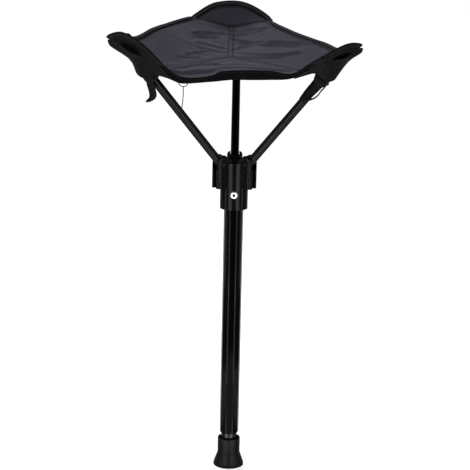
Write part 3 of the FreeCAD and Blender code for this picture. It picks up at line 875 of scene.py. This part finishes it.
def closed_band(name, columns, ring, place):
    """Band of tape whose section closes on itself, with its ends filled."""
    piece = sheet_of(name, columns, ring, place, lambda u, v: (u * 0.12, v * TAPE_ROUND))
    face_outward(piece)
    edit(piece, "DESELECT")
    bpy.ops.mesh.select_non_manifold()
    bpy.ops.mesh.fill_holes(sides=0)
    bpy.ops.object.mode_set(mode="OBJECT")
    face_outward(piece)
    soften(piece)
    return piece


def blunt(turn, across, upright):
    """Place on a rounded box's section; a lower power squares it more."""
    flat, high = math.cos(turn), math.sin(turn)
    return (math.copysign(abs(flat) ** across, flat), math.copysign(abs(high) ** upright, high))


def tape_piece(name, columns, spine, width, thickness, ends=(1.0, 0.6)):
    """Closed band of tape, narrowed at its ends.

    spine(u) gives the edge, the way back into the cloth and the normal.
    """
    def place(u, v):
        edge, inward, normal = spine(u)
        first, last = (end + (1 - end) * smooth(0, TAPE_END, away)
                       for end, away in zip(ends, (u, 1 - u)))
        slim = first * last
        flat, high = blunt(math.tau * v, 0.6, 0.6)
        return (edge + inward * ((width / 2 * (1 - flat) - TAPE_PROUD) * slim)
                + normal * (thickness / 4 * high * (1 + slim)))

    return closed_band(name, columns, 16, place)


def spine_from(surface):
    """Edge frame of a surface(u, v) at v = 1."""
    def spine(u):
        edge = surface(u, 1.0)
        inner = surface(u, 0.94)
        ahead = change_across(surface, u, 1.0)
        inward = (inner - edge).normalized()
        normal = ahead.cross(inward).normalized()
        inward = normal.cross(ahead).normalized()
        if inward.dot(inner - edge) < 0:
            inward = -inward
        return edge + Vector((0, 0, -CLOTH_T / 2)), inward, normal
    return spine


def bind_wing(arm):
    """Binding of a wing; it turns down to meet the front binding."""
    hang = 0.0 if arm == "back" else 0.72

    def surface(u, v):
        return wing_place(arm, u, v)

    edge_frame = spine_from(surface)

    def spine(u):
        edge = edge_frame(u)[0]
        inward = edge_frame(min(max(u, 0.08), 0.92))[1]
        ahead = change_across(surface, u, 1)
        drop = hang * smooth(-60, -100, edge.y)
        inward = inward.lerp(Vector((0, 0.1, -1)), drop).normalized()
        normal = ahead.cross(inward).normalized()
        return edge, normal.cross(ahead).normalized(), normal

    piece = tape_piece("binding_wing_" + arm, 90, spine, 8.0, 3.2, (0.3, 0.3))
    dress(piece, TAPE, "binding", "arm_" + arm)


# The front binding hangs upright: X, and the heights of its upper and lower edge there.
BAND_X = (-94, -84, -76, -68, -60, -48, -40, -32, -24, -17, -8, 2, 17, 32, 44, 54, 62, 70, 78, 86,
          94)
BAND_TOP = (599.5, 591.5, 587, 585, 584.5, 585.5, 586.5, 588.5, 592, 594.5, 595.3, 595.8, 596.3,
            596.3, 596, 594.5, 592.5, 592.5, 595, 600, 606)
BAND_BOTTOM = (591, 582, 577, 576.5, 577, 578, 579, 579.7, 580.6, 581.6, 582.6, 583, 583, 583.4,
               583.8, 584, 584.4, 585.6, 588, 593, 598)


def front_edge(x, heights):
    return float(np.interp(x, BAND_X, heights))


def bind_front(arm, side):
    """Half of the front binding, from the middle to a wing."""
    def place(u, v):
        x = side * u * HEM_HALF
        top, bottom = front_edge(x, BAND_TOP), front_edge(x, BAND_BOTTOM)
        flat, high = blunt(math.tau * v, 0.55, 0.75)
        bow = 0.5 * noise.noise(Vector((x * 0.05, 2.0, 5.0)))
        return Vector((x, -119.3 - 1.9 * flat + bow,
                       (top + bottom) / 2 + (top - bottom) / 2 * high))

    piece = closed_band("binding_front_by_" + arm, 70, 20, place)
    dress(piece, SHADED_FRONT_TAPE, "binding", None, "seat_hem_front")
    follow_arm(piece)


def bind_hem(arm, side):
    panel = PANEL_OF[arm, side]
    if panel == "front":
        bind_front(arm, 1 if arm == "right" else -1)
        return

    def surface(u, v):
        return on_seat(half_panel(arm, side, u, v))

    piece = tape_piece("binding_" + panel + "_by_" + arm, 60, spine_from(surface), 7.5, 3.4)
    dress(piece, TAPE, "binding", None, "seat_hem_" + panel)
    follow_arm(piece)


# Sleeves over the arms' ends, and the straps at their mouths

# Distance of an arm's pivot from the leg's axis, and its height, in mm
PIVOT_OUT = 22.5
PIVOT_HEIGHT = 452.0


def arm_frame(arm):
    """The pivot, and the arm's lengthwise, sideways and inward directions."""
    along = heading(ARMS[arm])
    out = along.to_3d()
    lengthwise = out * math.sin(ARM_LEAN) + Vector((0, 0, math.cos(ARM_LEAN)))
    sideways = beside(along).to_3d()
    inward = lengthwise.cross(sideways).normalized()
    if inward.z < 0:
        inward = -inward
    pivot = out * PIVOT_OUT + Vector((0, 0, PIVOT_HEIGHT))
    return pivot, lengthwise, sideways, inward


# Along a sleeve: distance on the arm, half its width and half its depth; its far end is closed.
SLEEVE = ((164, 10.4, 10.0), (170, 11.0, 10.6), (178, 10.2, 9.8), (188, 9.7, 9.3),
          (200, 9.5, 9.1), (212, 9.6, 9.2), (219, 9.2, 8.9), (222, 7.0, 7.0), (223.2, 0.5, 0.5))


def along_row(rows, share):
    k, t = step_in(rows, share)
    return [a + (b - a) * t for a, b in zip(rows[k], rows[k + 1])]


def sew_sleeve(arm):
    pivot, lengthwise, sideways, inward = arm_frame(arm)

    def place(u, v):
        t, wide, deep = along_row(SLEEVE, v)
        turn = math.tau * u
        crumple = (1 + 0.02 * math.sin(3 * turn + 5 * v)
                   + 0.03 * noise.noise(Vector((u * 6, v * 5, len(arm)))))
        return (pivot + lengthwise * t + sideways * wide * crumple * math.cos(turn)
                + inward * deep * crumple * math.sin(turn))

    piece = sheet_of("sleeve_" + arm, 48, 48, place, lambda u, v: (u * 0.07, v * 0.06))
    face_outward(piece)
    thicken(piece, LINING_T)
    soften(piece)
    dress(piece, CLOTH, "cloth", "arm_" + arm, "seat_pocket_" + arm)


# Cloth under a wing, from the binding's lower edge (first row) through the mouth's fold
# (second row) and its lower lip down to the sleeve's end, in mm. Each row runs from the
# wing's far side round its tip to the front binding.
UNDER_LEFT = (
    ((-158, -40, 624), (-168, -66, 626), (-171, -88, 629), (-161, -103, 633), (-148, -112, 635),
     (-134, -116, 628), (-121, -118, 618), (-107, -118, 606), (-93, -118, 592), (-76, -118, 582)),
    ((-155, -42, 620), (-166, -66, 623), (-170, -89, 625), (-156, -97, 627), (-142, -95, 619),
     (-131, -99, 615), (-120, -113, 611), (-107, -115, 602), (-93, -116, 590), (-76, -117, 581)),
    ((-150, -44, 615), (-161, -66, 618), (-165, -89, 619), (-151, -99, 618), (-141, -101, 613),
     (-131, -102, 609), (-119, -108, 604), (-106, -112, 597), (-92, -114, 588), (-76, -116, 580)),
    ((-137, -48, 600), (-141, -66, 602), (-142, -84, 603), (-139, -89, 601), (-135, -91, 598),
     (-129, -94, 595), (-117, -102, 594), (-105, -108, 591), (-91, -112, 586), (-76, -115, 579)),
    ((-124, -54, 584), (-129, -62, 583), (-134, -78, 586), (-132, -80, 583), (-127, -84, 580),
     (-121, -88, 579), (-112, -97, 584), (-104, -103, 585), (-90, -109, 582), (-75, -114, 576.5)),
)
UNDER_RIGHT = (
    ((158, -38, 617), (165, -62, 621), (166.5, -85, 625), (158, -100, 626), (146, -110, 626),
     (133, -115, 621), (120, -118, 615), (107, -118, 607), (93, -118, 598), (76, -118, 589)),
    ((155, -40, 615), (163, -63, 619), (166, -86, 622), (153, -97, 621), (140, -94, 615),
     (131, -98, 613), (119, -113, 611), (106, -115, 605), (93, -116, 597), (76, -117, 588)),
    ((150, -42, 612), (160, -64, 616), (163.5, -86, 618), (151, -97, 615), (140, -99, 611),
     (130, -102, 609), (118, -109, 605), (105, -112, 602), (92, -115, 595), (76, -116, 588)),
    ((139, -48, 600), (147, -66, 603), (149, -83, 607), (142, -89, 603), (137, -91, 600),
     (128, -95, 597), (115, -103, 597), (103, -108, 597), (91, -112, 593), (76, -115, 587)),
    ((124, -54, 584), (129, -62, 583), (134, -76, 586), (131, -82, 582), (126, -86, 580),
     (118, -90, 579), (110, -98, 587), (102, -104, 592), (91, -109, 590), (76, -113, 585.5)),
)
UNDER_BACK = (
    ((44, 148, 642), (32, 160, 645), (18, 167, 647), (5, 170, 648), (-9, 171, 648),
     (-24, 169, 647), (-38, 165, 646), (-50, 158, 644), (-63, 146, 643)),
    ((42, 147, 637), (31, 160, 638), (18, 168, 639), (5, 171.5, 640), (-9, 172, 640),
     (-23, 170, 639), (-36, 165, 638), (-48, 157, 638), (-60, 145, 638)),
    ((36, 144, 630), (27, 158, 630), (16, 168, 630), (5, 172, 630), (-8, 172, 630),
     (-19, 168, 630), (-30, 160, 630), (-41, 151, 631), (-52, 141, 633)),
    ((22, 137, 614), (18, 150, 612), (12, 160, 610), (4, 165, 609), (-5, 165, 609),
     (-13, 160, 610), (-19, 151, 612), (-25, 142, 615), (-31, 134, 620)),
    ((11, 124, 586), (11.5, 132, 580), (9, 140, 574), (3.5, 144, 571), (-3.5, 144, 571),
     (-9, 140, 574), (-11.5, 132, 580), (-12, 126, 585), (-13, 120, 592)),
)
UNDER_WING = {"left": UNDER_LEFT, "right": UNDER_RIGHT, "back": UNDER_BACK}


def sew_under_wing(arm):
    outward = 1 if arm == "back" else -1

    def place(u, v):
        point = along_edge([along_edge(row, u) for row in UNDER_WING[arm]], v)
        pull = noise.noise(Vector((u * 9, v * 2.5, 3.0 + len(arm))))
        return point + Vector((0, outward, -0.4)) * 0.9 * pull * math.sin(math.pi * v)

    piece = sheet_of("under_wing_" + arm, 84, 44, place, lambda u, v: (u * 0.14, v * 0.05))
    make_cloth(piece, (0, outward, -0.5), LINING_T, 0.0)
    # Its dark colour is partly painted shade under the wing
    dress(piece, SHADED_LINING, "cloth", None)
    follow_arm(piece)


def tape_along(name, columns, rows, place, thickness):
    piece = sheet_of(name, columns, rows, place, lambda u, v: (u * 0.011, v * 0.05))
    thicken(piece, thickness, 0.0)
    face_outward(piece)
    soften(piece)
    return piece


# Middle lines of the strap that hangs free, and of the loop, in mm.
HANGING_LINE = ((-122, -90, 588), (-118, -88, 583), (-115.5, -84, 577), (-115, -79, 570),
                (-113, -77, 563), (-111.5, -76.5, 556), (-112.5, -76.5, 551),
                (-116.5, -77, 547.5), (-119.5, -77.5, 546))
LOOP_LINE = ((117, -78, 585), (120.2, -77, 580), (120.4, -75, 573.5), (117, -72, 568),
             (114, -70, 564.5), (111.5, -68, 560), (108, -66, 556), (103.5, -64, 553),
             (98, -62, 551.2), (93, -61, 550.6))

STRAP_LENGTHS = {"right": 44, "back": 28}


def sew_strap(arm):
    """The left strap hangs free; the others lie over the arm below the sleeve's mouth.

    The right one ends in a loop beside the arm.
    """
    hanging, looped = evenly(HANGING_LINE, 12), evenly(LOOP_LINE, 14)
    pivot, lengthwise, sideways, _ = arm_frame(arm)
    beside_arm = lengthwise.cross(-sideways)

    def hang(u, v):
        wide = 10.5 - 1.5 * smooth(0.7, 0.9, v) - 5.0 * smooth(0.9, 1.0, v)
        curl = 0.9 * (2 * u - 1) ** 2
        return (along_edge(hanging, v) + Vector((0.93, -0.37, 0)) * (u - 0.5) * wide
                + Vector((0, 1, 0)) * curl)

    def lay(u, v):
        """Narrower at its end."""
        half = math.radians(84 - 46 * v ** 1.6)
        turn = (2 * u - 1) * half
        radius = (7.5 + 4.4 * (1 - smooth(0.0, 0.3, v))
                  + 0.4 * noise.noise(Vector((u * 3, v * 5, 2))))
        return (pivot + lengthwise * (173 - STRAP_LENGTHS[arm] * v)
                + (-sideways * math.cos(turn) + beside_arm * math.sin(turn)) * radius)

    def loop(u, v):
        return along_edge(looped, v) + Vector((0.12, 0.99, 0)) * (u - 0.5) * 8.0

    shape = (10, 40, hang, 1.8) if arm == "left" else (16, 44, lay, 1.6)
    piece = tape_along("strap_" + arm + "_tape", *shape)
    dress(piece, PILE, "webbing", "arm_" + arm, "strap_" + arm)
    if arm == "right":
        piece = tape_along("strap_" + arm + "_loop", 6, 44, loop, 1.7)
        dress(piece, WEBBING, "webbing", "arm_" + arm)


# Stitches: length and thickness in mm, and the distance of one from the next in lengths

STITCH_LONG = 3.1
STITCH_THICK = 0.95
STITCH_PITCH = 1.4


def stitch_line(name, places, body, arm=None):
    """One stitch, repeated and bent along a line of places in mm."""
    deselect()
    bpy.ops.mesh.primitive_uv_sphere_add(segments=6, ring_count=4, radius=0.5)
    stitch = bpy.context.object
    stitch.name = name
    stitch.data.name = name
    for point in stitch.data.vertices:
        x, y, z = point.co
        point.co = (z * STITCH_LONG * MM, x * STITCH_THICK * MM, y * STITCH_THICK * MM)
    deselect()
    bpy.ops.curve.primitive_nurbs_path_add()
    path = bpy.context.object
    path.data.splines.clear()
    line = path.data.splines.new("POLY")
    line.points.add(len(places) - 1)
    for point, place in zip(line.points, places):
        point.co = (*(place * MM), 1.0)
    apply(stitch, "ARRAY", fit_type="FIT_CURVE", curve=path,
          relative_offset_displace=(STITCH_PITCH, 0, 0))
    apply(stitch, "CURVE", object=path, deform_axis="POS_X")
    bpy.data.objects.remove(path)
    pick(stitch)
    bpy.ops.object.shade_smooth()
    dress(stitch, THREAD, "binding", body)
    if arm:
        follow_arm(stitch)


def line_on(place, first=0.0, share=1.0, count=40):
    """Places on a line, from first on over this share of it."""
    return [place(first + share * (k / (count - 1))) for k in range(count)]


def stitch_half_panel(arm, side):
    panel = PANEL_OF[arm, side]
    label = panel + "_by_" + arm
    aside = beside(heading(ARMS[arm])) * side

    def beside_seam(u):
        return on_seat(half_panel(arm, side, u, 0) + aside * 3.1, 0.15)

    def beside_hem(u):
        edge = half_panel(arm, side, u, 1)
        inward = (half_panel(arm, side, u, 0.9) - edge).normalized()
        return on_seat(edge + inward * STITCH_IN, -0.1)

    def on_front_band(u):
        x = (1 if arm == "right" else -1) * u * (HEM_HALF - 2)
        return Vector((x, -121.1, front_edge(x, BAND_TOP) - 2.6))

    stitch_line("stitches_seam_" + label, line_on(beside_seam, 0.03, 0.95), None, arm)
    hem = on_front_band if panel == "front" else beside_hem
    stitch_line("stitches_hem_" + label, line_on(hem), None, arm)


def stitch_wing(arm):
    def beside_edge(u):
        share = 1 - min(STITCH_IN / max(wing_length(arm, u), 1), 0.7)
        return wing_place(arm, u, share) - wing_normal(arm, u, share) * 0.3

    def beside_root(u):
        return wing_place(arm, u, 0.09) + wing_normal(arm, u, 0.09) * 0.2

    stitch_line("stitches_wing_" + arm, line_on(beside_edge, 0.07, 0.86, 60), "arm_" + arm)
    stitch_line("stitches_root_" + arm, line_on(beside_root, 0.06, 0.88, 50), "arm_" + arm)


for arm in ARMS:
    for side in (1, -1):
        sew_half_panel(arm, side)
        bind_hem(arm, side)
        stitch_half_panel(arm, side)
    sew_wing(arm)
    bind_wing(arm)
    stitch_wing(arm)
    sew_under_wing(arm)
    sew_sleeve(arm)
    sew_strap(arm)


# Floor, lamps and background

def area_lamp(name, place, aim, size, power, height=None):
    bpy.ops.object.light_add(type="AREA", location=place)
    lamp = bpy.context.object
    lamp.name = name
    lamp.data.shape = "RECTANGLE"
    lamp.data.size = size
    lamp.data.size_y = height or size
    lamp.data.energy = power
    way = Vector(aim) - Vector(place)
    lamp.rotation_euler = way.to_track_quat("-Z", "Y").to_euler()
    return lamp


def show_in_gloss(lamp):
    """Keep the lamp's light to the reflections in glossy surfaces."""
    lamp.visible_diffuse = False
    lamp.visible_camera = False


def reflected_strip(name, place, size, height, power):
    """Upright lamp that shows in the glossy surfaces only."""
    show_in_gloss(area_lamp(name, place, (0, 0, place[2]), size, power, height))


def floor_strip(name, azimuth, near, far, width, glow):
    """Lamp lying on the floor round the leg; it shows in the gloss of its lower part only."""
    way, up = heading(azimuth).to_3d(), Vector((0, 0, 1))
    middle = way * (near + far) / 2 + up * 0.002
    length = far - near
    lamp = area_lamp(name, middle, middle + up, width, glow * width * length, length)
    lamp.rotation_euler = Matrix((-way.cross(up), way, -up)).transposed().to_euler()
    show_in_gloss(lamp)


def pale_background(made, shown, soft):
    """Shows one shader to the camera, gloss and glass, and lights with the other."""
    rays = made.node("LightPath").outputs
    camera, gloss, glass = (made.value(rays["Is " + word + " Ray"])
                            for word in ("Camera", "Glossy", "Transmission"))
    seen = (camera + gloss + glass).clamped()
    mix = made.node("MixShader", {}, {0: seen, 1: soft.outputs[0], 2: shown.outputs[0]})
    return mix.outputs[0]


# The floor's glow, what is added far away, its lit part's place and width, the world's light
FLOOR_GLOW = 0.52
FLOOR_FALL = 0.33
FLOOR_CENTRE = -0.25
FLOOR_SPREAD = 5.3
WORLD_LIGHT = 0.22


def lay_floor():
    """Pale floor; its own glow makes up for the lamps' fall-off away from the stool."""
    deselect()
    bpy.ops.mesh.primitive_plane_add(size=14, location=(0, 3, -0.0005))
    floor = bpy.context.object
    floor.name = "floor"
    finish = Finish("pale floor", (0.8, 0.8, 0.8), 0.9)
    finish.tree.nodes.remove(finish.shader)
    x, y, _ = finish.parts(finish.node("NewGeometry").outputs["Position"])
    y = y - FLOOR_CENTRE
    spread = 1 / ((x * x + y * y) / FLOOR_SPREAD + 1)
    shown = finish.node("BsdfDiffuse", {}, {"Color": (0.8, 0.8, 0.8, 1)})
    strength = FLOOR_GLOW + (1 - spread * spread) * FLOOR_FALL
    glow = finish.node("Emission", {}, {"Strength": strength})
    both = finish.node("AddShader", {}, {0: shown.outputs[0], 1: glow.outputs[0]})
    dim = finish.node("BsdfDiffuse", {}, {"Color": (0.25, 0.25, 0.25, 1)})
    out = finish.tree.nodes["Material Output"]
    finish.tree.links.new(pale_background(finish, both, dim), out.inputs[0])
    floor.data.materials.append(finish.material)


def fill_world():
    world = bpy.data.worlds.new("studio")
    bpy.context.scene.world = world
    world.use_nodes = True
    world.node_tree.nodes.clear()
    made = Nodes(world.node_tree)
    shown, soft = (made.node("Background", {}, {"Color": (1, 1, 1, 1), "Strength": strength})
                   for strength in (1.0, WORLD_LIGHT))
    made.node("OutputWorld", {}, {0: pale_background(made, shown, soft)})


def light_studio():
    for side, word in ((-1, "left"), (1, "right")):
        reflected_strip(word + " strip", (side * 0.465, -0.775, 0.45), 0.42, 1.1, 37.0)
        reflected_strip(word + " side strip", (side * 0.98, -0.32, 0.45), 0.20, 1.1, 12.0)
        for near, far, width in ((0.07, 0.2, 0.08), (0.2, 0.45, 0.17), (0.45, 1.1, 0.36)):
            floor_strip(word + " floor strip", 270 + side * 31, near, far, width, 80)
    floor_strip("floor sheet", 270, 0.04, 0.55, 0.9, 16)
    area_lamp("front softbox", (-0.45, -1.3, 1.9), (0, 0, 0.6), 0.7, 18)
    area_lamp("back softbox", (-0.45, 1.0, 1.7), (0, 0, 0.6), 0.6, 24)


lay_floor()
fill_world()
light_studio()
bpy.context.scene.view_settings.view_transform = "Standard"

bpy.context.view_layer.update()
